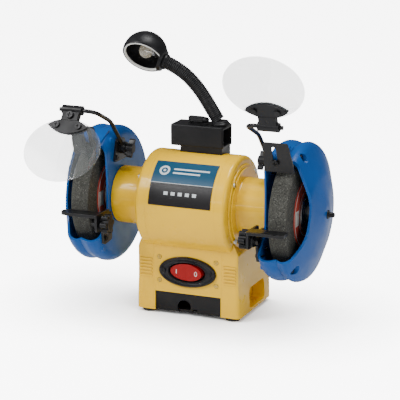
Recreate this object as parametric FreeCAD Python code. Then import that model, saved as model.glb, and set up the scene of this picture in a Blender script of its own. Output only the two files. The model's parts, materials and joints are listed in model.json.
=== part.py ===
import FreeCAD, Part
import math
import os

from FreeCAD import Vector

# A bench grinder with two 150 mm wheels and a work light, in millimetres.
# The origin is on the bench, straight below the middle of the shaft.
# +X runs along the shaft to the user's right, -Y is the user's side, +Z is up.

# Driving dimensions ---------------------------------------------------------
SHAFT_Z = 150.0
SIDES = (("right", 1), ("left", -1))

DRUM_R = 66.5
DRUM_HALF = 64.0
DRUM_EDGE_R = 6.0
BORE_R = 62.0
BORE_HALF = 57.0
MOUTH_R = 56.1

FOOT_H = 5.0
BASE_FRONT = -37.0
BASE_REAR = 80.0
BASE_HALF_LOW = 73.8
BASE_HALF_HIGH = 71.2
BASE_TOP = 102.0
WALL = 4.0
CORNER_R = 6.0

POCKET_Y = (2.0, 58.0)
POCKET_Z = (9.0, 37.0)
POCKET_X = 55.0
BOLT_X = 63.5
BOLT_Y = 35.0
BOLT_HOLE_R = 3.3

CUT_HALF = 47.0
CUT_TOP = 31.5

SWITCH_Z = 62.0
BEZEL_A = 40.5
BEZEL_B = 20.5
BEZEL_T = 4.0
ROCKER_A = 23.2
ROCKER_B = 11.2
ROCKER_PIVOT_Y = -33.0
ROCKER_REST = 6.0

NECK_R = 38.4
NECK_END = 110.5
SEAT_R = 17.5
BEARING_X = (88.0, 99.0)

SHAFT_MID_R = 9.0
SHAFT_SEAT_R = 7.5
SHAFT_WHEEL_R = 6.35
WHEEL_SHOULDER = 121.0
SHAFT_END = 165.0

WHEEL_R = 75.0
WHEEL_X = (126.0, 151.0)
LABEL_R = 48.0
LABEL_T = 0.8
FLANGE_R = 26.0

GUARD_R = 92.2
GUARD_WALL = 2.5
GUARD_X = (NECK_END, 138.0)
COVER_R = 92.6
COVER_X = 138.4
DOME_X = 181.0

REST_X = (107.0, 155.0)
REST_Y = (-97.0, -77.3)
REST_Z = (139.0, 143.0)
REST_TRAVEL = 16.0
REST_BOLT = (-80.0, 129.0)
BRACKET_T = 3.0

SPARK_LOW = (-55.0, 215.0)
SPARK_LEAN = 22.5
SPARK_LEN = 44.0
SPARK_SLOT_X = 131.0

ARM_X = 103.5
ARM_R = 2.75
ARM_PIVOT = (-10.0, 216.0)
HINGE = (-97.0, 281.0)
HINGE_END = 153.0
SHIELD_X = 134.5
SHIELD_A = 53.0
SHIELD_B = 43.5
SHIELD_T = 2.5
SHIELD_DROP = 57.0
SHIELD_ANGLE = {"right": 21.7, "left": 143.5}

BOX_X = (-38.0, 36.0)
BOX_Y = (-5.0, 30.0)
BOX_Z = (224.0, 253.0)
NECK_BASE = Vector(27.0, 12.0, 253.0)
NECK_HEADING = Vector(-0.989, -0.149, 0.0)
NECK_PIVOTS = ((13.0, 22.0), (28.0, 45.5), (46.0, 65.0), (67.0, 78.0))
TUBE_R = 9.0
BALL_R = 6.5
CUP_R = 6.9
TUBE_GAP = 2.8
HEAD = Vector(-76.0, 0.0, 343.0)
HEAD_FACING = Vector(-0.067, -0.764, -0.639)
SHADE_R = 30.0
SHADE_WALL = 1.6

FAR = 400.0
X_AXIS = Vector(1, 0, 0)
Y_AXIS = Vector(0, 1, 0)
Z_AXIS = Vector(0, 0, 1)


# Helpers --------------------------------------------------------------------
def block(x, y, z):
    """A box between pairs of limits."""
    return Part.makeBox(x[1] - x[0], y[1] - y[0], z[1] - z[0], Vector(x[0], y[0], z[0]))


def rod(start, end, radius):
    """A cylinder from one point to another."""
    run = end.sub(start)
    return Part.makeCylinder(radius, run.Length, start, run)


def rod_x(x, y, z, radius):
    return rod(Vector(x[0], y, z), Vector(x[1], y, z), radius)


def rod_y(x, y, z, radius):
    return rod(Vector(x, y[0], z), Vector(x, y[1], z), radius)


def rod_z(x, y, z, radius):
    return rod(Vector(x, y, z[0]), Vector(x, y, z[1]), radius)


def joined(first, *others):
    """One solid from several that overlap."""
    for other in others:
        first = first.fuse(other)
    return first.removeSplitter()


def group(shapes):
    """Separate solids kept in one piece."""
    return Part.makeCompound([solid for shape in shapes for solid in shape.Solids])


def outline(points, place):
    """A closed face through (u, v, corner radius) points, with round corners."""
    corners = []
    count = len(points)
    for index, (u, v, radius) in enumerate(points):
        here = place(u, v)
        before = place(*points[index - 1][:2])
        after = place(*points[(index + 1) % count][:2])
        if radius == 0:
            corners.append((here, here, None))
            continue
        back = before.sub(here).normalize()
        ahead = after.sub(here).normalize()
        half = back.getAngle(ahead) / 2
        reach = radius / math.tan(half)
        inward = back.add(ahead).normalize()
        middle = here.add(inward * (radius / math.sin(half) - radius))
        corners.append((here.add(back * reach), here.add(ahead * reach), middle))
    edges = []
    for index, (start, end, middle) in enumerate(corners):
        if middle is not None:
            edges.append(Part.Arc(start, middle, end).toShape())
        following = corners[(index + 1) % count][0]
        if end.distanceToPoint(following) > 1e-6:
            edges.append(Part.LineSegment(end, following).toShape())
    return Part.Face(Part.Wire(edges))


def prism_x(points, x):
    """A (y, z) outline pushed along X."""
    face = outline(points, lambda u, v: Vector(x[0], u, v))
    return face.extrude(Vector(x[1] - x[0], 0, 0))


def prism_y(points, y):
    """An (x, z) outline pushed along Y."""
    face = outline(points, lambda u, v: Vector(u, y[0], v))
    return face.extrude(Vector(0, y[1] - y[0], 0))


def prism_z(points, z):
    """An (x, y) outline pushed along Z."""
    face = outline(points, lambda u, v: Vector(u, v, z[0]))
    return face.extrude(Vector(0, 0, z[1] - z[0]))


def turned(points):
    """An (x, radius) outline turned round the shaft."""
    face = outline(points, lambda u, v: Vector(u, 0, SHAFT_Z + v))
    return face.revolve(Vector(0, 0, SHAFT_Z), X_AXIS, 360)


def ring(x, inner, outer):
    """A plain ring on the shaft."""
    return turned([(x[0], inner, 0), (x[0], outer, 0), (x[1], outer, 0), (x[1], inner, 0)])


def ellipse_y(a, b, z, y):
    """An elliptical plate that faces the user."""
    curve = Part.Ellipse(Vector(0, 0, 0), a, b)
    face = Part.Face(Part.Wire(curve.toShape()))
    face.rotate(Vector(0, 0, 0), X_AXIS, 90)
    face.translate(Vector(0, y[1], z))
    return face.extrude(Vector(0, y[0] - y[1], 0))


def hexagon(centre, axis, across, height):
    """A hexagonal bar, as a nut or a bolt head."""
    radius = across / math.sqrt(3)
    tool = Part.makeCylinder(radius, height)
    for turn in range(6):
        flat = Part.makeBox(across, 2 * across, 3 * height, Vector(across / 2, -across, -height))
        flat.rotate(Vector(0, 0, 0), Z_AXIS, 60 * turn)
        tool = tool.cut(flat)
    tool.Placement = FreeCAD.Placement(centre, FreeCAD.Rotation(Z_AXIS, axis))
    return tool


def screw(head, direction, head_r, head_h, shank_r, length):
    """A round-headed screw whose shank runs from the head's seat along direction."""
    way = Vector(direction).normalize()
    cap = rod(head, head.sub(way * head_h), head_r)
    slot = Part.makeBox(head_r * 1.3, head_r * 0.26, head_h * 0.5)
    slot.translate(Vector(-head_r * 0.65, -head_r * 0.13, 0))
    cross = slot.copy()
    cross.rotate(Vector(0, 0, 0), Z_AXIS, 90)
    drive = slot.fuse(cross)
    drive.Placement = FreeCAD.Placement(head.sub(way * head_h), FreeCAD.Rotation(Z_AXIS, way))
    return joined(cap.cut(drive), rod(head, head.add(way * length), shank_r))


def around(radius, degrees):
    """The (y, z) point at an angle round the shaft, measured up from the back."""
    angle = math.radians(degrees)
    return radius * math.cos(angle), SHAFT_Z + radius * math.sin(angle)


def on_side(shape, side):
    """A right-hand piece, mirrored for the left."""
    return shape if side > 0 else shape.mirror(Vector(0, 0, 0), X_AXIS)


# Motor housing --------------------------------------------------------------
def drum(radius, half, edge):
    return turned([(-half, 0, 0), (-half, radius, edge), (half, radius, edge), (half, 0, 0)])


def pedestal():
    """The body under the drum, swept smoothly into its front and ends."""
    side_view = [(BASE_FRONT, FOOT_H, 0), (BASE_FRONT, 94.3, 15), (-42.4, 98.8, 0), (-30, 125, 0),
                 (36, 125, 0), (43, 97, 30), (50, 62, 28), (BASE_REAR, 34, 10), (BASE_REAR, FOOT_H, 0)]
    front_view = [(-BASE_HALF_LOW, FOOT_H, 0), (-BASE_HALF_HIGH, 50, 40), (-BASE_HALF_HIGH, 92, 16),
                  (-62, 113, 14), (-62, 125, 0), (62, 125, 0), (62, 113, 14), (BASE_HALF_HIGH, 92, 16),
                  (BASE_HALF_HIGH, 50, 40), (BASE_HALF_LOW, FOOT_H, 0)]
    return three_views(side_view, front_view, 0)


def base_cavity(inset, bottom, top):
    """The hollow under the drum, a wall's thickness inside the base."""
    front = BASE_FRONT + inset
    rear = BASE_REAR - inset
    low = BASE_HALF_LOW - inset
    high = BASE_HALF_HIGH - inset
    side_view = [(front, bottom, 0), (front, top, 0), (41 - inset, top, 0),
                 (50 - inset, 62 - inset / 2, 28), (rear, 34 - inset / 2, 10), (rear, bottom, 0)]
    front_view = [(-low, bottom, 0), (-high, 50, 40), (-high, top - 6, 8),
                  (-high + 8, top, 0), (high - 8, top, 0), (high, top - 6, 8), (high, 50, 40), (low, bottom, 0)]
    return three_views(side_view, front_view, inset)


def three_views(side_points, front_points, inset):
    """What a side view, a front view and the round-cornered plan have in common."""
    side_view = prism_x(side_points, (-FAR, FAR))
    front_view = prism_y(front_points, (-FAR, FAR))
    front = BASE_FRONT + inset
    rear = BASE_REAR - inset
    low = BASE_HALF_LOW - inset
    corner = max(CORNER_R - inset, 1.5)
    plan = prism_z([(-low, front, corner), (low, front, corner),
                    (low, rear, corner), (-low, rear, corner)], (0, FAR))
    return side_view.common(front_view).common(plan)


def pocket(side):
    """The hand-deep pocket over each bench bolt, open at the side."""
    inside = prism_y([(POCKET_X, POCKET_Z[0], 2), (90, POCKET_Z[0], 0),
                      (90, POCKET_Z[1], 0), (POCKET_X, POCKET_Z[1], 6)], POCKET_Y)
    rounded = prism_x([(POCKET_Y[0], POCKET_Z[0], 6), (POCKET_Y[1], POCKET_Z[0], 6),
                       (POCKET_Y[1], POCKET_Z[1], 7), (POCKET_Y[0], POCKET_Z[1], 7)], (40, 100))
    return on_side(inside.common(rounded), side)


def vent_ribs():
    """Low raised ribs on the front, beside the switch."""
    ribs = []
    for side in (1, -1):
        for row in range(6):
            bottom = 50.5 + 4.6 * row
            left, right = sorted((side * 51.0, side * 68.5))
            ribs.append(block((left, right), (BASE_FRONT - 1.2, BASE_FRONT + 1), (bottom, bottom + 2.2)))
    return ribs


def make_motor_housing():
    body = joined(drum(DRUM_R, DRUM_HALF, DRUM_EDGE_R), pedestal(), *vent_ribs())
    cavity = base_cavity(WALL, 0, BASE_TOP - WALL)
    for side in (1, -1):
        keep = block((POCKET_X - 4, 90), (POCKET_Y[0] - 4, POCKET_Y[1] + 4), (0, POCKET_Z[1] + 4))
        cavity = cavity.cut(on_side(keep, side))
        for y in ((-60, -14), (62, 90)):
            cavity = cavity.cut(on_side(block((50, 90), y, (0, 10)), side))
    body = body.cut(cavity)
    body = body.cut(rod_x((-BORE_HALF, BORE_HALF), 0, SHAFT_Z, BORE_R))
    body = body.cut(rod_x((-90, 90), 0, SHAFT_Z, MOUTH_R))
    for side in (1, -1):
        body = body.cut(pocket(side))
        body = body.cut(rod_z(side * BOLT_X, BOLT_Y, (0, 12), BOLT_HOLE_R))
        left, right = sorted((side * 70.0, side * 80.0))
        body = body.cut(block((left, right), (BOLT_Y - 4, BOLT_Y + 4), (0, 7.5)))
    body = body.cut(block((-CUT_HALF, CUT_HALF), (-60, BASE_FRONT + WALL + 1), (0, CUT_TOP)))
    body = body.cut(ellipse_y(28.5, 15.0, SWITCH_Z, (-60, -20)))
    for x, z in front_screw_places():
        body = body.cut(rod_y(x, (-60, BASE_FRONT + 1.2), z, 3.4))
        body = body.cut(rod_y(x, (-60, BASE_FRONT + 9), z, 1.5))
    for side in (1, -1):
        body = body.cut(rod_y(side * 34.5, (-60, BASE_FRONT + 9), SWITCH_Z, 1.5))
    body = body.cut(rod_y(GLAND_X, (40, 120), GLAND_Z, 6.2))
    for x, y in foot_places():
        body = body.cut(rod_z(x, y, (0, 12), 2.0))
    return body


def front_screw_places():
    return [(side * 40.5, z) for side in (1, -1) for z in (47.0, 79.0)]


def foot_places():
    return [(side * 60.0, y) for side in (1, -1) for y in (-25.0, 69.5)]


def make_front_screws():
    return group([screw(Vector(x, BASE_FRONT + 1.2, z), (0, 1, 0), 2.8, 1.6, 1.4, 6)
                  for x, z in front_screw_places()])


def capacitor_strap():
    """A band and a post that hold the capacitor over the tray."""
    band = rod_x((-14, -4), 22, 64, 16.6)
    post = block((-14, -4), (18, 26), (FOOT_H + 2, 50))
    return joined(band, post).cut(rod_x((-20, 0), 22, 64, 15.0))


def make_base_plate():
    """The black tray that closes the base, with its upright front panel."""
    floor = block((-49.5, 49.5), (BASE_FRONT + WALL + 0.2, BASE_REAR - WALL - 0.2), (FOOT_H, FOOT_H + 3))
    panel = block((-CUT_HALF + 0.3, CUT_HALF - 0.3), (BASE_FRONT + 2.0, BASE_FRONT + 4.8), (FOOT_H, CUT_TOP - 0.3))
    arch = rod_y(-6, (-60, BASE_FRONT + 8), 12.0, 9.5)
    notch = block((6, 13), (-60, BASE_FRONT + 6), (0, FOOT_H + 5))
    return joined(floor, panel.cut(arch).cut(notch), capacitor_strap())


def make_rubber_feet():
    feet = []
    for x, y in foot_places():
        foot = Part.makeCone(9.0, 10.0, FOOT_H, Vector(x, y, 0))
        feet.append(foot.cut(rod_z(x, y, (-1, 2.5), 4.5)).cut(rod_z(x, y, (0, 9), 2.0)))
    return group(feet)


def make_foot_screws():
    return group([screw(Vector(x, y, 2.5), (0, 0, 1), 3.8, 1.8, 1.95, 7) for x, y in foot_places()])


def make_nameplate():
    """A thin plate curved round the front of the drum."""
    shell = ring((-43.5, 43.5), DRUM_R, DRUM_R + 0.7)
    low = around(FAR, 173.5)
    high = around(FAR, 118.8)
    wedge = prism_x([(0, SHAFT_Z, 0), (low[0], low[1], 0), (-FAR, FAR, 0), (high[0], high[1], 0)], (-60, 60))
    return shell.common(wedge)


GLAND_X = -40.0
GLAND_Z = 20.0


def make_cable_gland():
    """The mains inlet at the back, with an empty bore."""
    wall = BASE_REAR
    flange = rod_y(GLAND_X, (wall, wall + 3), GLAND_Z, 10.0)
    nose = Part.makeCone(7.5, 6.0, 9, Vector(GLAND_X, wall + 3, GLAND_Z), Y_AXIS)
    neck = rod_y(GLAND_X, (wall - 6, wall), GLAND_Z, 6.0)
    return joined(flange, nose, neck).cut(rod_y(GLAND_X, (0, 200), GLAND_Z, 3.6))


# Switch ---------------------------------------------------------------------
def make_switch_bezel():
    plate = ellipse_y(BEZEL_A, BEZEL_B, SWITCH_Z, (BASE_FRONT - BEZEL_T + 1.5, BASE_FRONT))
    step = ellipse_y(BEZEL_A - 1.6, BEZEL_B - 1.6, SWITCH_Z, (BASE_FRONT - BEZEL_T, BASE_FRONT - 1))
    plate = joined(plate, step)
    throat = ellipse_y(27.6, 14.4, SWITCH_Z, (BASE_FRONT - 1, BASE_FRONT + 5))
    hole = ellipse_y(ROCKER_A + 3.0, ROCKER_B + 2.0, SWITCH_Z, (-60, -20))
    bezel = joined(plate, throat).cut(hole)
    for side in (1, -1):
        bezel = bezel.cut(rod_y(side * 34.5, (-60, BASE_FRONT + 9), SWITCH_Z, 1.6))
        bezel = bezel.cut(rod_y(side * 34.5, (-60, BASE_FRONT - 2.2), SWITCH_Z, 3.6))
    return bezel


def make_bezel_screws():
    seat = BASE_FRONT - 2.2
    return group([screw(Vector(side * 34.5, seat, SWITCH_Z), (0, 1, 0), 3.3, 1.6, 1.45, 9)
                  for side in (1, -1)])


def make_switch_rocker():
    """A seesaw button that turns about an upright line through its middle."""
    cap = ellipse_y(ROCKER_A, ROCKER_B, SWITCH_Z, (-42.0, -31.5))
    valley = prism_z([(-40, -60, 0), (40, -60, 0), (26, -41.8, 0), (0, -39.8, 14), (-26, -41.8, 0)], (0, FAR))
    cap = cap.cut(valley)
    cap.rotate(Vector(0, ROCKER_PIVOT_Y, SWITCH_Z), Z_AXIS, -ROCKER_REST)
    return cap


def make_switch_body():
    case = block((-26, 26), (-27.5, -8), (SWITCH_Z - 13, SWITCH_Z + 13))
    rib = prism_z([(-3, -27.4, 0), (-1, -30.9, 0), (1, -30.9, 0), (3, -27.4, 0)],
                  (SWITCH_Z - 8, SWITCH_Z + 8))
    tabs = [block((side * 12 - 3, side * 12 + 3), (-8.1, -1), (SWITCH_Z - 1, SWITCH_Z + 1)) for side in (1, -1)]
    return joined(case, rib, *tabs)


# Motor ----------------------------------------------------------------------
def make_stator_core():
    core = ring((-30, 30), 33.0, BORE_R - 0.1)
    for step in range(24):
        y, z = around(33.0, 15 * step)
        core = core.cut(rod_x((-40, 40), y, z, 2.0))
    return core


def make_stator_windings():
    coils = []
    for side in (1, -1):
        coil = turned([(30.2, 37, 3), (48, 37, 6), (48, 57, 6), (30.2, 57, 3)])
        coils.append(on_side(coil, side))
    return group(coils)


def make_rotor_core():
    core = ring((-30, 30), SHAFT_MID_R, 32.3)
    ends = [on_side(ring((29.9, 36), SHAFT_MID_R, 28.0), side) for side in (1, -1)]
    return joined(core, *ends)


def make_shaft():
    return turned([(-SHAFT_END, 0, 0), (-SHAFT_END, SHAFT_WHEEL_R, 1), (-WHEEL_SHOULDER, SHAFT_WHEEL_R, 0),
                   (-WHEEL_SHOULDER, SHAFT_SEAT_R, 0), (-84, SHAFT_SEAT_R, 0), (-84, SHAFT_MID_R, 0),
                   (84, SHAFT_MID_R, 0), (84, SHAFT_SEAT_R, 0), (WHEEL_SHOULDER, SHAFT_SEAT_R, 0),
                   (WHEEL_SHOULDER, SHAFT_WHEEL_R, 0), (SHAFT_END, SHAFT_WHEEL_R, 1), (SHAFT_END, 0, 0)])


def make_capacitor():
    can = rod_x((-34, 20), 22, 64, 15.0)
    posts = [rod_x((20, 27), 22 + offset, 64, 2.0) for offset in (-5, 5)]
    return joined(can, *posts)


# End bells and bearings -----------------------------------------------------
def make_end_bell():
    bell = turned([(60, 56, 0), (66, 56, 1.5), (66, 50, 0.8), (64.4, 49, 0), (64.4, NECK_R, 6),
                   (NECK_END, NECK_R, 1.2), (NECK_END, 12, 0), (100, 12, 0), (100, SEAT_R, 0),
                   (88, SEAT_R, 0), (88, 23, 0), (102, 23, 0), (102, 34, 0), (68, 34, 0),
                   (68, 51.5, 0), (60, 51.5, 0)])
    for degrees in BELL_SCREWS:
        y, z = around(53.5, degrees)
        bell = bell.cut(rod_x((50, 70), y, z, 1.9))
    for degrees in GUARD_SCREWS:
        y, z = around(28.5, degrees)
        bell = bell.cut(rod_x((101, 120), y, z, 1.9))
    return bell


BELL_SCREWS = (47, 137, 227, 317)
GUARD_SCREWS = (60, 180, 300)


def make_end_bell_screws():
    screws = []
    for side in (1, -1):
        for degrees in BELL_SCREWS:
            y, z = around(53.5, degrees)
            screws.append(on_side(screw(Vector(66, y, z), (-1, 0, 0), 3.4, 2.0, 1.8, 8), side))
    return group(screws)


def make_bearing():
    """Outer race, inner race and the balls between them."""
    start, end = BEARING_X
    middle = (start + end) / 2
    outer = ring(BEARING_X, 14.4, SEAT_R - 0.02)
    inner = ring(BEARING_X, SHAFT_SEAT_R + 0.02, 10.6)
    groove = Part.makeTorus(12.5, 2.95, Vector(middle, 0, SHAFT_Z), X_AXIS)
    solids = [outer.cut(groove), inner.cut(groove)]
    for step in range(8):
        y, z = around(12.5, 45 * step)
        solids.append(Part.makeSphere(2.9, Vector(middle, y, z)))
    return group(solids)


# Wheels ---------------------------------------------------------------------
def make_wheel():
    start, end = WHEEL_X
    return turned([(start, SHAFT_WHEEL_R + 0.03, 0), (start, WHEEL_R, 1.5),
                   (end, WHEEL_R, 1.5), (end, SHAFT_WHEEL_R + 0.03, 0)])


def make_wheel_labels():
    start, end = WHEEL_X
    return group([ring((start - LABEL_T, start), 16.0, LABEL_R), ring((end, end + LABEL_T), 16.0, LABEL_R)])


def make_wheel_flanges():
    start, end = WHEEL_X
    bore = SHAFT_WHEEL_R + 0.03
    inner_face = start - LABEL_T
    outer_face = end + LABEL_T
    inner = turned([(WHEEL_SHOULDER, bore, 0), (WHEEL_SHOULDER, 12, 1), (123, FLANGE_R, 1),
                    (inner_face, FLANGE_R, 0), (inner_face, bore, 0)])
    outer = turned([(outer_face, bore, 0), (outer_face, FLANGE_R, 0), (154.0, FLANGE_R, 1),
                    (155.8, 12, 1), (155.8, bore, 0)])
    return group([inner, outer])


def make_wheel_nut():
    nut = hexagon(Vector(155.8, 0, SHAFT_Z), X_AXIS, 19.0, 8.0)
    bevel = turned([(155, 0, 0), (155, 11.5, 0), (162.5, 11.5, 0), (164.5, 9.0, 0), (164.5, 0, 0)])
    return nut.common(bevel).cut(rod_x((150, 170), 0, SHAFT_Z, SHAFT_WHEEL_R + 0.02))


# Guards ---------------------------------------------------------------------
def work_opening(edge, lug):
    """The gap at the front where the wheel is used, as a block along X."""
    points = [(-FAR, 300, 0), (-lug, 300, 0), (-lug, 222, 3), (-edge, 182, 14), (-edge, 126, 30),
              (-90, 92, 0), (-FAR, -141, 0)]
    return prism_x(points, (90, 200))


COVER_SCREWS = ((-30.0, 228.3), (-57.0, 88.3), (84.0, 150.0))
COVER_SEAT = 152.0


def make_guard_inner():
    """The half of the guard that is bolted to the motor."""
    plate_x, seam_x = GUARD_X
    shell = turned([(plate_x, 12.5, 0), (plate_x, GUARD_R, 13), (128, GUARD_R, 12), (seam_x, 89, 0),
                    (seam_x, 86.5, 0), (127.6, GUARD_R - GUARD_WALL, 10),
                    (plate_x + GUARD_WALL, GUARD_R - GUARD_WALL, 10.5), (plate_x + GUARD_WALL, 12.5, 0)])
    shell = shell.cut(work_opening(46.0, 50.0))
    posts = []
    for y, z in COVER_SCREWS:
        post = rod_x((plate_x + 1, seam_x - 0.2), y, z, 4.4)
        posts.append(post.common(rod_x((100, 150), 0, SHAFT_Z, GUARD_R - 0.6)))
    shell = joined(shell, *posts)
    for y, z in COVER_SCREWS:
        shell = shell.cut(rod_x((112, 150), y, z, 1.9))
    for degrees in GUARD_SCREWS:
        y, z = around(28.5, degrees)
        shell = shell.cut(rod_x((100, 120), y, z, 2.2))
    for y, z in REST_BRACKET_SCREWS + ARM_BRACKET_SCREWS:
        shell = shell.cut(rod_x((100, 120), y, z, 2.1))
    return shell


def cover_profile(inset, centre):
    """The cover's outer line, from the seam over the rim to its middle."""
    return [(147 - inset, COVER_R - inset, 10), (157 - inset, 88 - inset, 12),
            (172 - inset, 52 - inset, 60), (centre, 12, 30), (centre, 0, 0)]


def make_guard_cover():
    """The outer half: a rim and a deep dome, with scooped screw pockets."""
    outer = cover_profile(0, DOME_X)
    inner = cover_profile(GUARD_WALL, DOME_X - GUARD_WALL)
    seam = [(COVER_X, 86.5, 0), (COVER_X, 89, 0)]
    shell = turned(seam + outer + inner[::-1])
    filled = turned([(COVER_X, 0, 0), (COVER_X, 89, 0)] + outer)
    opening = cover_opening()
    for y, z in COVER_SCREWS:
        scoop = rod_x((COVER_SEAT, 200), y, z, 6.2)
        shell = shell.cut(scoop)
        shell = joined(shell, rod_x((COVER_X, 160), y, z, 7.9).common(filled).cut(scoop))
        shell = shell.cut(rod_x((120, 200), y, z, 2.2))
    return shell.cut(opening)


def cover_opening():
    """The cover's front cut: a tall shallow curve, then down to its lower corner."""
    return prism_x([(-FAR, 300, 0), (-47, 300, 0), (-47, 214, 40), (-41, 174, 60), (-52, 124, 40),
                    (-92, 86, 0), (-FAR, -146, 0)], (130, 200))


def make_cover_screws():
    return group([screw(Vector(COVER_SEAT, y, z), (-1, 0, 0), 4.2, 2.6, 1.8, 28) for y, z in COVER_SCREWS])


def make_guard_screws():
    screws = []
    for degrees in GUARD_SCREWS:
        y, z = around(28.5, degrees)
        screws.append(screw(Vector(NECK_END + GUARD_WALL, y, z), (-1, 0, 0), 4.0, 2.4, 1.8, 10))
    return group(screws)


def make_hub_cap():
    """The small black cap in the middle of the cover."""
    return turned([(DOME_X + 0.05, 0, 0), (DOME_X + 0.05, 6, 0), (DOME_X + 1.6, 5.4, 0.6),
                   (DOME_X + 1.6, 3.6, 0.5), (190, 3.2, 1.2), (190, 0, 0)])


# Tool rests -----------------------------------------------------------------
REST_BRACKET_SCREWS = ((-47.0, 110.0), (-60.0, 103.0))


def make_rest_bracket():
    """The fixed plate that carries the tool rest."""
    x = (NECK_END - BRACKET_T, NECK_END)
    plate = prism_x([(-41, 97, 4), (-41, 136, 4), (-62, 137, 4), (-89, 137, 5), (-89, 121, 5),
                     (-70, 119, 4), (-66, 95, 4)], x)
    y, z = REST_BOLT
    plate = plate.cut(rod_x((90, 120), y, z, 3.2))
    for y, z in REST_BRACKET_SCREWS:
        plate = plate.cut(rod_x((90, 120), y, z, 2.1))
    return plate


def make_tool_rest(side):
    """A steel table with a slotted wing that is clamped to the bracket."""
    outer = REST_X[1] + (3.0 if side < 0 else 0.0)
    wing_x = (NECK_END - 2 * BRACKET_T - 0.3, NECK_END - BRACKET_T - 0.3)
    table = prism_z([(wing_x[0], REST_Y[0], 3), (outer, REST_Y[0], 9 if side < 0 else 4),
                     (outer, REST_Y[1], 9 if side < 0 else 2), (wing_x[0], REST_Y[1], 1)], REST_Z)
    wing = prism_x([(REST_Y[0] + 2, 119, 4), (REST_Y[0] + 2, REST_Z[1], 0), (-56, REST_Z[1], 4), (-56, 119, 4)],
                   wing_x)
    y, z = REST_BOLT
    slot = prism_x([(y - 3.4, z - 3.4, 3.3), (y + REST_TRAVEL + 3.4, z - 3.4, 3.3),
                    (y + REST_TRAVEL + 3.4, z + 3.4, 3.3), (y - 3.4, z + 3.4, 3.3)], (90, 120))
    rest = joined(table, wing).cut(slot)
    if side > 0:
        groove = prism_x([(REST_Y[0] - 5, REST_Z[1] - 1.8, 0), (REST_Y[0] - 5, REST_Z[1] + 2, 0),
                          (REST_Y[0] + 13, REST_Z[1] + 2, 0), (REST_Y[0] + 13, REST_Z[1], 0)], (141, 145))
        rest = rest.cut(groove)
    return rest


def make_rest_knob():
    """A star knob with the bolt that it pulls through the wing."""
    y, z = REST_BOLT
    start, end = 91.0, NECK_END - 2 * BRACKET_T - 0.6
    knob = rod_x((start, end - 3), y, z, 8.5)
    for step in range(6):
        angle = math.radians(60 * step)
        lobe_y = y + 9.5 * math.cos(angle)
        lobe_z = z + 9.5 * math.sin(angle)
        knob = knob.fuse(rod_x((start + 1, end - 3), lobe_y, lobe_z, 3.6))
    knob = joined(knob, rod_x((end - 3.1, end), y, z, 6.5))
    bolt = rod_x((end - 0.1, NECK_END + 4), y, z, 2.9)
    return joined(knob, bolt)


def make_rest_bolt_nut():
    """The nut on the wheel side of the bracket, and its washer."""
    y, z = REST_BOLT
    washer = rod_x((NECK_END + 0.1, NECK_END + 1.4), y, z, 6.5)
    nut = hexagon(Vector(NECK_END + 1.4, y, z), X_AXIS, 10.0, 4.6)
    return joined(washer, nut).cut(rod_x((100, 130), y, z, 3.0))


def make_rest_bracket_screws():
    seat = NECK_END - BRACKET_T
    return group([screw(Vector(seat, y, z), (1, 0, 0), 3.8, 2.2, 1.9, 8) for y, z in REST_BRACKET_SCREWS])


# Spark guards ---------------------------------------------------------------
def spark_frame(shape):
    """Lean a piece drawn upright at the spark guard's lower edge."""
    shape.rotate(Vector(0, 0, 0), X_AXIS, SPARK_LEAN)
    shape.translate(Vector(0, SPARK_LOW[0], SPARK_LOW[1]))
    return shape


def make_spark_guard():
    """A steel flap close to the top of the wheel, on a slot for adjustment."""
    sheet = prism_y([(114, 0, 2), (154, 0, 2), (154, 14, 6), (150.5, SPARK_LEN, 3), (117.5, SPARK_LEN, 3)],
                    (-2.0, 0))
    slot = prism_y([(SPARK_SLOT_X - 3, 11.5, 2.9), (SPARK_SLOT_X + 3, 11.5, 2.9),
                    (SPARK_SLOT_X + 3, 38, 2.9), (SPARK_SLOT_X - 3, 38, 2.9)], (-5, 5))
    return spark_frame(sheet.cut(slot))


def make_spark_bracket():
    """The bent tab on the guard that the spark guard is screwed to."""
    tab = prism_y([(118, 8, 2), (137, 8, 2), (137, 24, 3), (118, 24, 3)], (0.4, 4.4))
    tab = tab.cut(rod_y(SPARK_SLOT_X, (-5, 5), 14.5, 2.0))
    tab = spark_frame(tab)
    band = ring((118, 137), GUARD_R + 0.1, GUARD_R + 2.6)
    reach = prism_x([(-57.0, 210, 0), (-57.0, 300, 0), (-22, 300, 0), (-22, 210, 0)], (100, 150))
    return joined(band.common(reach), tab)


def make_spark_screw():
    head = screw(Vector(SPARK_SLOT_X, -2.3, 14.5), (0, 1, 0), 5.0, 2.6, 1.95, 9)
    return spark_frame(head)


# Eye shields ----------------------------------------------------------------
ARM_BRACKET_SCREWS = ((-24.0, 205.0), (8.0, 205.0))


def make_arm_bracket():
    """A plate on the motor side of the guard, with the arm's pivot stud."""
    x = (NECK_END - BRACKET_T, NECK_END)
    y, z = ARM_PIVOT
    plate = prism_x([(y - 20, 199, 4), (y + 23, 199, 4), (y + 12, z + 12, 8), (y - 12, z + 14, 8)], x)
    for screw_y, screw_z in ARM_BRACKET_SCREWS:
        plate = plate.cut(rod_x((90, 120), screw_y, screw_z, 2.1))
    stud = rod_x((94.5, x[1]), y, z, 2.9)
    return joined(plate, stud)


def make_arm_bracket_screws():
    seat = NECK_END - BRACKET_T
    return group([screw(Vector(seat, y, z), (1, 0, 0), 3.6, 2.0, 1.9, 8) for y, z in ARM_BRACKET_SCREWS])


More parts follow.
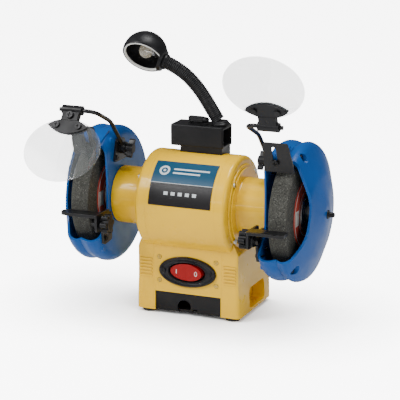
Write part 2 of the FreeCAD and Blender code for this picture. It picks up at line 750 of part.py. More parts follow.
def make_shield_arm():
    """A bent rod: up and forward from its clamp, then across as a hinge bar."""
    y0, z0 = ARM_PIVOT
    start = Vector(ARM_X, y0, z0)
    knee = Vector(ARM_X, -50.0, 259.5)
    corner = Vector(ARM_X, HINGE[0], HINGE[1])
    tip = Vector(HINGE_END, HINGE[0], HINGE[1])
    first = bend(start, knee, corner, 45.0)
    second = bend(knee, corner, tip, 13.0)
    edges = [line(start, first[0]), arc(first), line(first[2], second[0]), arc(second), line(second[2], tip)]
    section = Part.Wire(Part.Circle(start, knee.sub(start), ARM_R).toShape())
    swept = Part.Wire(edges).makePipeShell([section], True, False)
    clamp = rod_x((ARM_X - 4.2, ARM_X + 3.6), y0, z0, 8.0).cut(rod_x((80, 130), y0, z0, 3.0))
    return joined(swept.cut(rod_x((80, 130), y0, z0, 3.0)), clamp)


def bend(before, corner, after, radius):
    """Start, middle and end of the arc that rounds a corner of a path."""
    back = before.sub(corner).normalize()
    ahead = after.sub(corner).normalize()
    half = back.getAngle(ahead) / 2
    reach = radius / math.tan(half)
    inward = back.add(ahead).normalize()
    middle = corner.add(inward * (radius / math.sin(half) - radius))
    return corner.add(back * reach), middle, corner.add(ahead * reach)


def line(start, end):
    return Part.LineSegment(start, end).toShape()


def arc(points):
    return Part.Arc(*points).toShape()


def make_arm_knob():
    """A wing knob that locks the arm."""
    y, z = ARM_PIVOT
    hub = rod_x((89, 98.8), y, z, 6.0)
    wings = prism_x([(y - 13, z - 2.5, 2.4), (y + 13, z - 2.5, 2.4),
                     (y + 13, z + 2.5, 2.4), (y - 13, z + 2.5, 2.4)], (89.5, 96.5))
    wings.rotate(Vector(0, y, z), X_AXIS, 60)
    return joined(hub, wings).cut(rod_x((92, 110), y, z, 3.0))


def shield_frame(shape, name):
    """Turn a piece drawn upright over the hinge bar to its resting angle."""
    shape.rotate(Vector(0, 0, 0), X_AXIS, SHIELD_ANGLE[name])
    shape.translate(Vector(0, HINGE[0], HINGE[1]))
    return shape


SHIELD_SCREW_X = (-15.5, 15.5)
SHIELD_SCREW_UP = 24.0


def make_eye_shield(name):
    """A clear oval pane."""
    pane = ellipse_y(SHIELD_A, SHIELD_B, SHIELD_DROP, (-SHIELD_T / 2, SHIELD_T / 2))
    pane.translate(Vector(SHIELD_X, 0, 0))
    for offset in SHIELD_SCREW_X:
        pane = pane.cut(rod_y(SHIELD_X + offset, (-5, 5), SHIELD_SCREW_UP, 1.8))
    return shield_frame(pane, name)


def lens(length, width, y):
    """A pointed oval sheet: two arcs that meet at the tips."""
    left = Vector(-length / 2, y[0], 0)
    right = Vector(length / 2, y[0], 0)
    top = Part.Arc(left, Vector(0, y[0], width / 2), right).toShape()
    bottom = Part.Arc(right, Vector(0, y[0], -width / 2), left).toShape()
    return Part.Face(Part.Wire([top, bottom])).extrude(Vector(0, y[1] - y[0], 0))


def make_shield_holder(name):
    """A sleeve on the hinge bar and two pointed sheets that pinch the pane."""
    half = SHIELD_T / 2
    sleeve = rod_x((SHIELD_X - 14, SHIELD_X + 14), 0, 0, 6.2)
    web = block((SHIELD_X - 11.5, SHIELD_X + 11.5), (-4.2, 4.2), (2, 16))
    holder = joined(sleeve, web)
    for near in (-half - 2.2, half):
        sheet = lens(57, 20, (near, near + 2.2))
        sheet.translate(Vector(SHIELD_X, 0, SHIELD_SCREW_UP))
        holder = holder.fuse(sheet)
    slit = block((SHIELD_X - 60, SHIELD_X + 60), (-half, half), (SHIELD_DROP - SHIELD_B - 1.5, 80))
    holder = holder.cut(slit).removeSplitter()
    for offset in SHIELD_SCREW_X:
        holder = holder.cut(rod_y(SHIELD_X + offset, (-9, 9), SHIELD_SCREW_UP, 1.8))
    holder = holder.cut(rod_x((SHIELD_X - 30, SHIELD_X + 30), 0, 0, ARM_R + 0.08))
    holder = holder.cut(rod_y(SHIELD_X, (-9, 9), 9.5, 2.0))
    return shield_frame(holder, name)


def make_shield_screws(name):
    """Two pane screws with their nuts and the larger pinch screw."""
    half = SHIELD_T / 2 + 2.2
    pieces = []
    for offset in SHIELD_SCREW_X:
        centre = Vector(SHIELD_X + offset, half, SHIELD_SCREW_UP)
        bolt = screw(centre, (0, -1, 0), 4.0, 2.4, 1.7, 2 * half)
        nut = hexagon(Vector(centre.x, -half, centre.z), Vector(0, -1, 0), 7.0, 2.6)
        pieces.append(joined(bolt, nut))
    pieces.append(screw(Vector(SHIELD_X, 4.3, 9.5), (0, -1, 0), 4.7, 3.0, 1.7, 8.2))
    return shield_frame(group(pieces), name)


# Work light -----------------------------------------------------------------
def make_lamp_box():
    """The black box on the drum, open at its right-hand end."""
    shell = block(BOX_X, BOX_Y, BOX_Z)
    shell = shell.makeFillet(2.0, shell.Edges)
    pocket_cut = block((8, 60), (BOX_Y[0] + 3, BOX_Y[1] - 3), (BOX_Z[0] + 3, BOX_Z[1] - 4))
    shell = shell.cut(pocket_cut)
    stem = block((-24, 35), (BOX_Y[0] + 0.6, BOX_Y[1] - 4), (200, BOX_Z[0] + 2))
    stem = stem.cut(rod_x((-FAR, FAR), 0, SHAFT_Z, DRUM_R))
    return joined(shell, stem, lamp_switch_cheek())


SWITCH_KNOB = (8.0, 259.0)


def lamp_switch_cheek():
    """The cheek on the box that carries the light's thumbwheel."""
    y, z = SWITCH_KNOB
    foot = block((-16, 10), (y - 4, y + 4), (BOX_Z[1] - 1, BOX_Z[1] + 0.8))
    cheek = block((-16, -13.4), (y - 4, y + 4), (BOX_Z[1] - 1, z + 4))
    return joined(foot, cheek, rod_x((-13.5, -11.2), y, z, 2.0))


def make_lamp_switch_wheel():
    y, z = SWITCH_KNOB
    wheel = rod_x((-12.9, 4), y, z, 4.2)
    for step in range(12):
        angle = math.radians(30 * step)
        wheel = wheel.fuse(rod_x((-12.9, 4), y + 3.9 * math.cos(angle), z + 3.9 * math.sin(angle), 0.9))
    nose = Part.makeCylinder(4.0, 4.0, Vector(3.9, y, z), X_AXIS)
    dome = Part.makeSphere(4.0, Vector(7.9, y, z))
    return joined(wheel, nose, dome).cut(rod_x((-14, -11), y, z, 2.2))


def neck_point(forward, up):
    return NECK_BASE.add(NECK_HEADING * forward).add(Z_AXIS * up)


def make_neck_base():
    """The turning collar on the box and the first length of tube."""
    collar = rod(NECK_BASE.add(Vector(0, 0, 0.3)), NECK_BASE.add(Vector(0, 0, 5.0)), 12.5)
    first = neck_point(*NECK_PIVOTS[0])
    riser = rod(NECK_BASE.add(Vector(0, 0, 0.3)), NECK_BASE.add(Vector(0, 0, 9.0)), TUBE_R)
    tube = tube_length(NECK_BASE.add(Vector(0, 0, 9)), first, False)
    return joined(collar, riser, tube)


def tube_length(start, end, cup):
    """One stiff length of the bending tube, with a ball at its far end."""
    way = end.sub(start).normalize()
    begin = start.add(way * TUBE_GAP) if cup else start
    piece = joined(rod(begin, end.sub(way * TUBE_GAP), TUBE_R), Part.makeSphere(BALL_R, end))
    return piece.cut(Part.makeSphere(CUP_R, start)) if cup else piece


def make_neck_length(index):
    return tube_length(neck_point(*NECK_PIVOTS[index - 1]), neck_point(*NECK_PIVOTS[index]), True)


def make_lamp_shade():
    """A domed shade whose collar takes the end of the tube."""
    facing = Vector(HEAD_FACING).normalize()
    tip = neck_point(*NECK_PIVOTS[-1])
    way = HEAD.sub(tip).normalize()
    collar = rod(tip.add(way * TUBE_GAP), HEAD, TUBE_R + 0.6)
    dome = Part.makeSphere(SHADE_R, HEAD)
    body = joined(dome, collar)
    hollow = Part.makeSphere(SHADE_R - SHADE_WALL, HEAD)
    body = body.cut(hollow).cut(Part.makeSphere(CUP_R, tip))
    mouth = Part.makeCylinder(60, 60, HEAD.add(facing * 6.0), facing)
    return body.cut(mouth)


def make_lamp_rim():
    """The pale ring that lines the mouth of the shade."""
    facing = Vector(HEAD_FACING).normalize()
    seat = HEAD.add(facing * 3.2)
    ring_out = Part.makeCylinder(27.4, 3.4, seat, facing)
    ring_in = Part.makeCone(24.0, 25.4, 3.4, seat, facing)
    return ring_out.cut(ring_in)


def bulb_line():
    """Where the lamp holder meets the shade, and the way from there into it."""
    facing = Vector(HEAD_FACING).normalize()
    neck_way = HEAD.sub(neck_point(*NECK_PIVOTS[-1])).normalize()
    seat = HEAD.sub((neck_way * 0.9).add(facing * 0.45).normalize() * 28.6)
    centre = HEAD.sub(facing * 4.5)
    return seat, centre.sub(seat).normalize(), centre


def make_bulb_holder():
    """The black lamp holder on the neck side of the shade."""
    seat, way, _ = bulb_line()
    body = rod(seat.sub(way * 4), seat.add(way * 15), 8.0)
    return body.common(Part.makeSphere(SHADE_R - SHADE_WALL - 0.03, HEAD))


def make_bulb():
    seat, way, centre = bulb_line()
    cap = rod(seat.add(way * 15), centre, 6.0)
    return joined(cap, Part.makeSphere(9.4, centre))


# Export ---------------------------------------------------------------------
def save(name, shape):
    for solid in shape.Solids:
        if not solid.isValid() or solid.Volume <= 0:
            print("check the solid in", name)
    shape.exportStep("parts/" + name + ".step")
    print(name, len(shape.Solids), round(shape.Volume))


SINGLE_NODES = (
    ("motor_housing", make_motor_housing), ("front_screws", make_front_screws),
    ("base_plate", make_base_plate), ("rubber_feet", make_rubber_feet),
    ("foot_screws", make_foot_screws), ("nameplate", make_nameplate),
    ("cable_gland", make_cable_gland), ("switch_bezel", make_switch_bezel),
    ("bezel_screws", make_bezel_screws), ("switch_rocker", make_switch_rocker),
    ("switch_body", make_switch_body), ("stator_core", make_stator_core),
    ("stator_windings", make_stator_windings), ("rotor_core", make_rotor_core),
    ("shaft", make_shaft), ("capacitor", make_capacitor), ("end_bell_screws", make_end_bell_screws),
    ("lamp_box", make_lamp_box), ("lamp_switch_wheel", make_lamp_switch_wheel),
    ("neck_base", make_neck_base), ("lamp_shade", make_lamp_shade), ("lamp_rim", make_lamp_rim),
    ("bulb_holder", make_bulb_holder), ("bulb", make_bulb))

# Alike pieces of one body, both sides in one node.
PAIRED_NODES = (
    ("end_bells", (make_end_bell,)), ("bearings", (make_bearing,)),
    ("wheel_labels", (make_wheel_labels,)), ("wheel_flanges", (make_wheel_flanges,)),
    ("wheel_nuts", (make_wheel_nut,)), ("guard_brackets", (make_rest_bracket, make_arm_bracket)),
    ("bracket_screws", (make_rest_bracket_screws, make_arm_bracket_screws, make_rest_bolt_nut)),
    ("spark_brackets", (make_spark_bracket,)), ("spark_screws", (make_spark_screw,)),
    ("guard_screws", (make_cover_screws, make_guard_screws)), ("hub_caps", (make_hub_cap,)))

# One node for each side.
SIDE_NODES = (
    ("wheel", make_wheel), ("guard_inner", make_guard_inner), ("guard_cover", make_guard_cover),
    ("rest_knob", make_rest_knob), ("spark_guard", make_spark_guard),
    ("shield_arm", make_shield_arm), ("arm_knob", make_arm_knob))

# One node for each side, where the two sides differ.
NAMED_NODES = (
    ("eye_shield", make_eye_shield), ("shield_holder", make_shield_holder),
    ("shield_screws", make_shield_screws))


def main():
    os.makedirs("parts", exist_ok=True)
    for node, make in SINGLE_NODES:
        save(node, make())
    for index in range(1, len(NECK_PIVOTS)):
        save("neck_length_" + str(index), make_neck_length(index))
    for node, makers in PAIRED_NODES:
        save(node, group([on_side(make(), side) for make in makers for _, side in SIDES]))
    for name, side in SIDES:
        save("tool_rest_" + name, on_side(make_tool_rest(side), side))
        for node, make in SIDE_NODES:
            save(node + "_" + name, on_side(make(), side))
        for node, make in NAMED_NODES:
            save(node + "_" + name, on_side(make(name), side))


main()
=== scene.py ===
import bmesh
import bpy
import json
import math
from mathutils import Matrix, Vector


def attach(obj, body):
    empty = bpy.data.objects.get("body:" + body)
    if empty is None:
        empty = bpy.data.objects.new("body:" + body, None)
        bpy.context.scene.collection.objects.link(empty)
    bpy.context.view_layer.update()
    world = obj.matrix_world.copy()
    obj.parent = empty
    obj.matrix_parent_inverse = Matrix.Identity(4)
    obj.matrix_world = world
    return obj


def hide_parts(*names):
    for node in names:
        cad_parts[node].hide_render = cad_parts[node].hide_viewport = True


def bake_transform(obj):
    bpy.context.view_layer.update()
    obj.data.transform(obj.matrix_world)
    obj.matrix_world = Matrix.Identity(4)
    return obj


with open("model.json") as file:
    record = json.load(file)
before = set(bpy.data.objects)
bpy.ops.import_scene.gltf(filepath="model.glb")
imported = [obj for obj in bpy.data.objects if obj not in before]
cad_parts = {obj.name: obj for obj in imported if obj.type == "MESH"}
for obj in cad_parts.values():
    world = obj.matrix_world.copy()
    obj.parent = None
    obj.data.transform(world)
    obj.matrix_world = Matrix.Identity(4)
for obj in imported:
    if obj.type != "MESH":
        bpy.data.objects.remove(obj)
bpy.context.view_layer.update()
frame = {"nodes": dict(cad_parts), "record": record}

# Sizes shared with the CAD model, in metres.
MM = 0.001
SHAFT_Z = 0.150
DRUM_R = 0.0665
FRONT_Y = -0.037
SWITCH_Z = 0.062
NECK_BASE = Vector((0.027, 0.012, 0.253))
NECK_HEADING = Vector((-0.989, -0.149, 0.0))
NECK_PIVOTS = ((0.013, 0.022), (0.028, 0.0455), (0.046, 0.065), (0.067, 0.078))
HEAD = Vector((-0.076, 0.0, 0.343))
HEAD_FACING = Vector((-0.067, -0.764, -0.639)).normalized()
SHADE_R = 0.030

SHADE_WALL = 0.0016
MOUTH = 0.006
ROCKER_PIVOT_Y = -0.033
ROCKER_REST_DEGREES = -6.0
SEAM_X = 0.0487

# The neck's ribbed sleeve.
TUBE_R = 0.0086
RIB_DEPTH = 0.0006
RIB_PITCH = 0.0024
RIB_FLATNESS = 4
STEPS_PER_RIB = 7
ROUND_STEPS = 30
NECK_START = 0.0075

# The bulb, along the line from the back of the shade to the middle of the globe.
SEAT_BACK = 0.0268
GLOBE_FORWARD = 0.0045
CAP_START = 0.0105
GLOBE_R = 0.0094

# The nameplate: distances along the shaft and up round the drum.
PLATE_SPLIT = 0.0375
DEVICE_X = 0.0285
DEVICE_RISE = 0.0555
DEVICE_R = 0.0058
DEVICE_HALF_WIDTH = 0.0015
DEVICE_HUB_R = 0.0019
PLATE_BARS = ((0.0585, 0.0012, -0.016, 0.034), (0.0525, 0.0012, -0.016, 0.022),
              (0.0375, 0.0003, -0.0435, 0.0435))
TICK_COUNT = 5
TICK_LEFT = -0.020
TICK_STEP = 0.010
TICK_RISE = 0.0240

# The paper disc on a wheel.
OUTER_RING_R = 0.0445
INNER_RING_R = 0.0300
PANEL_Y = -0.036

# The photograph's view of the object.
CAMERA_AT = Vector((0.8961, -2.15531, 0.75259))
CAMERA_TARGET = Vector((0.002333, 0.0, 0.15173))
CAMERA_LENS = 163.593
SENSOR_WIDTH = 36.0

# Light: name, place, width, height, power.
SOFTBOXES = (
    ("key", (-1.3, -1.5, 1.7), 0.8, 0.8, 54.0),
    ("overhead", (0.2, 0.1, 2.0), 1.0, 1.0, 34.0),
    ("fill", (1.7, -1.1, 0.9), 0.7, 0.7, 14.0),
    ("strip", (-0.1, -2.4, 0.85), 1.7, 0.10, 7.0))
SOFTBOX_TARGET = Vector((0, 0, 0.15))
WORLD_STRENGTH = 0.12
FLOOR_HALF = 12.0
FLOOR_GLOW = 7.0
FLOOR_PAINTED_SHADOW_REACH = 0.16


# Shader graphs --------------------------------------------------------------
class Graph:
    """A short way to write one material's nodes."""

    def __init__(self, name):
        self.material = bpy.data.materials.new(name)
        self.material.use_nodes = True
        self.tree = self.material.node_tree
        self.shader = self.tree.nodes["Principled BSDF"]
        self.place = self.add("ShaderNodeTexCoord").outputs["Object"]

    def add(self, kind, inputs=None, **settings):
        node = self.tree.nodes.new(kind)
        for key, value in settings.items():
            setattr(node, key, value)
        for key, value in (inputs or {}).items():
            if isinstance(value, bpy.types.NodeSocket):
                self.tree.links.new(value, node.inputs[key])
            else:
                node.inputs[key].default_value = value
        return node

    def math(self, operation, first, second=0.0, third=0.0):
        return self.add("ShaderNodeMath", {0: first, 1: second, 2: third}, operation=operation).outputs[0]

    def noise(self, scale, detail=3.0, place=None):
        inputs = {"Vector": place or self.place, "Scale": scale, "Detail": detail}
        return self.add("ShaderNodeTexNoise", inputs).outputs["Fac"]

    def span(self, value, low, high, new_low=0.0, new_high=1.0):
        inputs = {"Value": value, "From Min": low, "From Max": high, "To Min": new_low, "To Max": new_high}
        return self.add("ShaderNodeMapRange", inputs).outputs["Result"]

    def mix(self, factor, first, second):
        node = self.tree.nodes.new("ShaderNodeMix")
        node.data_type = "RGBA"
        for index, value in ((0, factor), (6, first), (7, second)):
            if isinstance(value, bpy.types.NodeSocket):
                self.tree.links.new(value, node.inputs[index])
            else:
                node.inputs[index].default_value = value
        return node.outputs[2]

    def bump(self, height, distance, strength=1.0, under=None):
        inputs = {"Height": height, "Distance": distance, "Strength": strength}
        if under is not None:
            inputs["Normal"] = under
        return self.add("ShaderNodeBump", inputs).outputs["Normal"]

    def set(self, **sockets):
        names = {"color": "Base Color", "rough": "Roughness", "metal": "Metallic", "normal": "Normal",
                 "coat": "Coat Weight", "coat_rough": "Coat Roughness", "alpha": "Alpha", "ior": "IOR",
                 "through": "Transmission Weight", "glow": "Emission Strength",
                 "glow_color": "Emission Color", "specular": "Specular IOR Level"}
        for key, value in sockets.items():
            socket = self.shader.inputs[names[key]]
            if isinstance(value, bpy.types.NodeSocket):
                self.tree.links.new(value, socket)
            else:
                socket.default_value = value
        return self.material


def rgb(red, green, blue):
    return (red, green, blue, 1.0)


def edge_wear(graph, amount):
    """Where corners rub: strongest on sharp edges, broken up by noise."""
    flat = graph.add("ShaderNodeNewGeometry").outputs["Normal"]
    rounded = graph.add("ShaderNodeBevel", {"Radius": 0.0009}, samples=4).outputs["Normal"]
    pair = {0: flat, 1: rounded}
    likeness = graph.add("ShaderNodeVectorMath", pair, operation="DOT_PRODUCT").outputs["Value"]
    worn = graph.span(likeness, 0.985, 0.90)
    patchy = graph.span(graph.noise(240.0), 0.40, 0.62)
    return graph.math("MULTIPLY", graph.math("MULTIPLY", worn, patchy), amount)


def painted_recess_shade(graph, color, dark):
    """Painted shade: a darker colour in narrow grooves and inside corners, where ambient occlusion finds
    them.
    """
    openness = graph.add("ShaderNodeAmbientOcclusion", {"Distance": 0.0022}, samples=8).outputs["AO"]
    return graph.mix(graph.span(openness, 0.35, 0.85), dark, color)


def seam_bump(graph, under):
    """The two upright mould lines that run over the housing's front."""
    across = graph.math("ABSOLUTE", graph.add("ShaderNodeSeparateXYZ", {"Vector": graph.place}).outputs["X"])
    seam = graph.math("COMPARE", across, SEAM_X, 0.0005)
    return graph.bump(graph.math("MULTIPLY", seam, -1.0), 0.0008, 1.0, under)


def painted(name, base, shade, rough=0.3, coat=0.25, worn=None, wear=0.5, seams_and_painted_shade=False):
    """Sprayed enamel: faint orange peel, dust in the finish and rubbed corners."""
    g = Graph(name)
    cloud = g.span(g.noise(14.0, 5.0), 0.3, 0.7)
    color = g.mix(cloud, shade, base)
    specks = g.span(g.noise(1900.0, 1.0), 0.70, 0.76)
    color = g.mix(g.math("MULTIPLY", specks, 0.25), color, rgb(*[v * 0.5 for v in base[:3]]))
    color = g.mix(edge_wear(g, wear), color, worn or rgb(*[min(1, v * 1.25 + 0.02) for v in base[:3]]))
    smudge = g.span(g.noise(45.0, 4.0), 0.35, 0.7, rough - 0.05, rough + 0.10)
    surface = g.bump(g.noise(520.0, 2.0), 0.00004)
    if seams_and_painted_shade:
        surface = seam_bump(g, surface)
        # Painted shade: the yellow darkens in the vent grooves and in inside corners.
        color = painted_recess_shade(g, color, rgb(*[v * 0.42 for v in base[:3]]))
    return g.set(color=color, rough=smudge, coat=coat, coat_rough=0.12, specular=0.22, normal=surface)


def moulded(name, base, rough=0.45, depth=0.00005, lift=1.5, wear=0.5):
    """Moulded plastic with a fine spark-eroded grain."""
    g = Graph(name)
    cloud = g.span(g.noise(30.0, 4.0), 0.3, 0.7)
    lighter = rgb(*[min(1.0, v * lift + 0.004) for v in base[:3]])
    color = g.mix(cloud, base, lighter)
    color = g.mix(edge_wear(g, wear), color, rgb(*[min(1.0, v * 2.2 + 0.03) for v in base[:3]]))
    fine = g.noise(1400.0, 2.0)
    patch = g.span(g.noise(60.0, 3.0), 0.35, 0.65, rough - 0.06, rough + 0.10)
    return g.set(color=color, rough=patch, normal=g.bump(fine, depth), specular=0.22)


def turned_steel(name, base, rough=0.28):
    """Metal with fine tool marks that run round the shaft."""
    g = Graph(name)
    marks = {"Vector": g.place, "Scale": (2600.0, 40.0, 40.0)}
    lines = g.add("ShaderNodeMapping", marks).outputs["Vector"]
    streak = g.noise(1.0, 3.0, lines)
    stain = g.span(g.noise(70.0, 5.0), 0.45, 0.75)
    color = g.mix(g.math("MULTIPLY", stain, 0.5), base, rgb(*[v * 0.45 for v in base[:3]]))
    return g.set(color=color, metal=1.0, rough=g.span(streak, 0.3, 0.7, rough - 0.08, rough + 0.16),
                 normal=g.bump(streak, 0.00002))


def abrasive():
    """Bonded grit: packed grains, pits whose darker colour is painted shade, and a few grains lightened as
    painted glints.
    """
    g = Graph("abrasive_grit")
    cells = g.add("ShaderNodeTexVoronoi", {"Vector": g.place, "Scale": 1500.0})
    tone = g.add("ShaderNodeSeparateColor", {"Color": cells.outputs["Color"]}).outputs[0]
    color = g.mix(tone, rgb(0.022, 0.022, 0.017), rgb(0.070, 0.070, 0.058))
    # Painted glint: the brightest cells are lightened as if their facets caught the light.
    painted_glint = g.math("GREATER_THAN", tone, 0.95)
    color = g.mix(painted_glint, color, rgb(0.18, 0.18, 0.16))
    # The pits are dipped by the bump and darkened in colour as painted shade.
    pores_and_painted_shade = g.span(g.noise(420.0, 3.0), 0.60, 0.66)
    color = g.mix(pores_and_painted_shade, color, rgb(0.012, 0.012, 0.011))
    height = g.math("SUBTRACT", cells.outputs["Distance"], g.math("MULTIPLY", pores_and_painted_shade, 0.8))
    return g.set(color=color, rough=g.span(tone, 0.0, 1.0, 0.95, 0.6), normal=g.bump(height, 0.0004))


def wheel_paper():
    """The printed paper disc on a wheel: red, with rings and a pale panel."""
    g = Graph("wheel_paper")
    axes = g.add("ShaderNodeSeparateXYZ", {"Vector": g.place})
    rise = g.math("SUBTRACT", axes.outputs["Z"], SHAFT_Z)
    reach = g.math("SQRT", g.math("ADD", g.math("POWER", rise, 2.0), g.math("POWER", axes.outputs["Y"], 2.0)))
    ring = g.math("COMPARE", reach, OUTER_RING_R, 0.0007)
    inner = g.math("COMPARE", reach, INNER_RING_R, 0.0006)
    fibre = g.noise(900.0, 4.0)
    color = g.mix(fibre, rgb(0.36, 0.035, 0.022), rgb(0.52, 0.06, 0.035))
    panel = g.math("MULTIPLY", g.math("COMPARE", axes.outputs["Y"], PANEL_Y, 0.006),
                   g.math("COMPARE", rise, 0.0, 0.010))
    marks = g.math("MAXIMUM", panel, g.math("MAXIMUM", ring, inner))
    color = g.mix(marks, color, rgb(0.62, 0.60, 0.55))
    scuff = g.span(g.noise(130.0, 5.0), 0.55, 0.75, 0.0, 0.5)
    color = g.mix(scuff, color, rgb(0.12, 0.05, 0.04))
    return g.set(color=color, rough=0.85, normal=g.bump(fibre, 0.00006))


def name_plate():
    """A printed plate: blue above, near black below, with plain wheel and bar devices."""
    g = Graph("printed_plate")
    axes = g.add("ShaderNodeSeparateXYZ", {"Vector": g.place})
    rise = g.math("SUBTRACT", axes.outputs["Z"], SHAFT_Z)
    angle = g.math("ARCTAN2", rise, g.math("MULTIPLY", axes.outputs["Y"], -1.0))
    along = axes.outputs["X"]
    around = g.math("MULTIPLY", angle, DRUM_R)
    upper = g.math("GREATER_THAN", around, PLATE_SPLIT)
    color = g.mix(upper, rgb(0.005, 0.004, 0.005), rgb(0.0, 0.050, 0.105))
    wheel_x = g.math("ABSOLUTE", g.math("ADD", along, DEVICE_X))
    wheel_y = g.math("SUBTRACT", around, DEVICE_RISE)
    distance = g.math("SQRT", g.math("ADD", g.math("POWER", wheel_x, 2.0), g.math("POWER", wheel_y, 2.0)))
    disc = g.math("COMPARE", distance, DEVICE_R, DEVICE_HALF_WIDTH)
    hub = g.math("LESS_THAN", distance, DEVICE_HUB_R)
    marks = g.math("MAXIMUM", disc, hub)
    for middle, height, left, right in PLATE_BARS:
        bar = g.math("COMPARE", around, middle, height)
        inside = g.math("COMPARE", along, (left + right) / 2, (right - left) / 2)
        marks = g.math("MAXIMUM", marks, g.math("MULTIPLY", bar, inside))
    for step in range(TICK_COUNT):
        tick = g.math("COMPARE", along, TICK_LEFT + TICK_STEP * step, 0.0028)
        row = g.math("COMPARE", around, TICK_RISE, 0.0022)
        marks = g.math("MAXIMUM", marks, g.math("MULTIPLY", tick, row))
    color = g.mix(g.math("MULTIPLY", marks, 0.9), color, rgb(0.62, 0.66, 0.68))
    fine = g.noise(700.0, 2.0)
    return g.set(color=color, rough=g.span(fine, 0.3, 0.7, 0.34, 0.48), specular=0.3,
                 normal=g.bump(fine, 0.00001))


def clear_plastic():
    """The eye shields: clear, faintly hazy sheet with hair scratches."""
    g = Graph("clear_shield")
    stretch = g.add("ShaderNodeMapping", {"Vector": g.place, "Scale": (300.0, 40.0, 40.0)}).outputs["Vector"]
    hair = g.span(g.noise(1.0, 6.0, stretch), 0.62, 0.70)
    tint = g.mix(hair, rgb(0.80, 0.84, 0.84), rgb(0.95, 0.96, 0.96))
    return g.set(color=tint, rough=g.span(hair, 0.0, 1.0, 0.04, 0.22), through=0.9, alpha=0.36, ior=1.46,
                 normal=g.bump(g.noise(25.0), 0.00002))


def bulb_glass():
    g = Graph("bulb_glass")
    haze = g.span(g.noise(180.0), 0.4, 0.8, 0.02, 0.12)
    tint = g.mix(g.noise(90.0), rgb(0.97, 0.96, 0.90), rgb(1.0, 1.0, 0.98))
    # Painted reflection: the faint warm glow stands in for warm reflections in the glass of the unlit bulb.
    return g.set(color=tint, rough=haze, through=0.85, ior=1.45, alpha=0.8, specular=0.9,
                 glow=0.10, glow_color=rgb(1.0, 0.86, 0.60))


def soft_rubber(name):
    g = Graph(name)
    dust = g.span(g.noise(160.0, 5.0), 0.45, 0.75)
    color = g.mix(dust, rgb(0.012, 0.012, 0.012), rgb(0.05, 0.048, 0.045))
    return g.set(color=color, rough=0.8, normal=g.bump(g.noise(900.0, 3.0), 0.0001))


def build_materials():
    yellow = rgb(0.92, 0.54, 0.002)
    return {
        "yellow": painted("yellow_enamel", yellow, rgb(0.87, 0.50, 0.003), rough=0.30, coat=0.35, seams_and_painted_shade=True),
        "blue": painted("blue_enamel", rgb(0.0, 0.078, 0.32), rgb(0.0, 0.064, 0.27), rough=0.34, coat=0.05,
                        worn=rgb(0.02, 0.16, 0.42)),
        "black_steel": painted("black_enamel", rgb(0.008, 0.008, 0.009), rgb(0.005, 0.005, 0.006),
                               rough=0.34, coat=0.15, worn=rgb(0.12, 0.12, 0.12)),
        "black": moulded("black_plastic", rgb(0.005, 0.005, 0.006), rough=0.38),
        "sleeve": moulded("neck_sleeve", rgb(0.008, 0.008, 0.009), rough=0.36, depth=0.00001, wear=0.0),
        "bezel": moulded("bezel_plastic", rgb(0.008, 0.008, 0.010), rough=0.30, wear=0.15),
        "red": moulded("rocker_plastic", rgb(0.27, 0.0, 0.0), rough=0.30, depth=0.00001, lift=1.1),
        "white": moulded("lamp_rim_plastic", rgb(0.72, 0.72, 0.68), rough=0.3, lift=1.05),
        "print": moulded("switch_print", rgb(0.80, 0.80, 0.76), rough=0.4, lift=1.05),
        "yellow_screw": painted("yellow_screw_paint", rgb(0.74, 0.47, 0.03), rgb(0.62, 0.38, 0.02),
                                rough=0.35, worn=rgb(0.5, 0.45, 0.35), wear=0.6),
        "black_screw": turned_steel("blackened_steel", rgb(0.035, 0.035, 0.036), rough=0.36),
        "zinc": turned_steel("zinc_plate", rgb(0.55, 0.55, 0.52)),
        "steel": turned_steel("turned_steel", rgb(0.50, 0.50, 0.50)),
        "laminations": turned_steel("laminated_steel", rgb(0.25, 0.25, 0.27), rough=0.4),
        "aluminium": turned_steel("cast_aluminium", rgb(0.60, 0.60, 0.62), rough=0.42),
        "copper": turned_steel("enamelled_copper", rgb(0.52, 0.20, 0.07), rough=0.3),
        "can": turned_steel("drawn_can", rgb(0.70, 0.70, 0.70), rough=0.35),
        "reflector": turned_steel("bulb_metal", rgb(0.72, 0.72, 0.72), rough=0.2),
        "grit": abrasive(),
        "paper": wheel_paper(),
        "plate": name_plate(),
        "clear": clear_plastic(),
        "bulb": bulb_glass(),
        "rubber": soft_rubber("foot_rubber"),
    }


SLOT_LOOKS = {
    "yellow_shell": "yellow", "blue_guard": "blue", "black_plastic": "black", "dark_bezel": "bezel",
    "red_rocker": "red", "rubber": "rubber", "yellow_screw": "yellow_screw", "steel": "steel",
    "zinc": "zinc", "laminations": "laminations", "copper": "copper", "aluminium": "aluminium",
    "capacitor_can": "can", "plate_print": "plate", "abrasive": "grit", "label_paper": "paper",
    "black_steel": "black_steel", "clear_pane": "clear", "neck_rubber": "sleeve",
    "rim_white": "white", "bulb_glass": "bulb", "black_screw": "black_screw"}


# Pieces ---------------------------------------------------------------------
def body_holding(node):
    for body, members in frame["record"]["behaviour"]["bodies"].items():
        if node in members:
            return body
    raise ValueError(node)


def slot_of(node):
    for entry in frame["record"]["subparts"]:
        if entry["node"] == node:
            return entry["material_slot"]
    raise ValueError(node)


def new_piece(name, mesh, look, body):
    piece = bpy.data.objects.new(name, mesh)
    bpy.context.scene.collection.objects.link(piece)
    mesh.materials.clear()
    mesh.materials.append(looks[look])
    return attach(piece, body)


def smooth_by_angle(mesh, degrees):
    mesh.shade_smooth()
    mesh.set_sharp_from_angle(angle=math.radians(degrees))


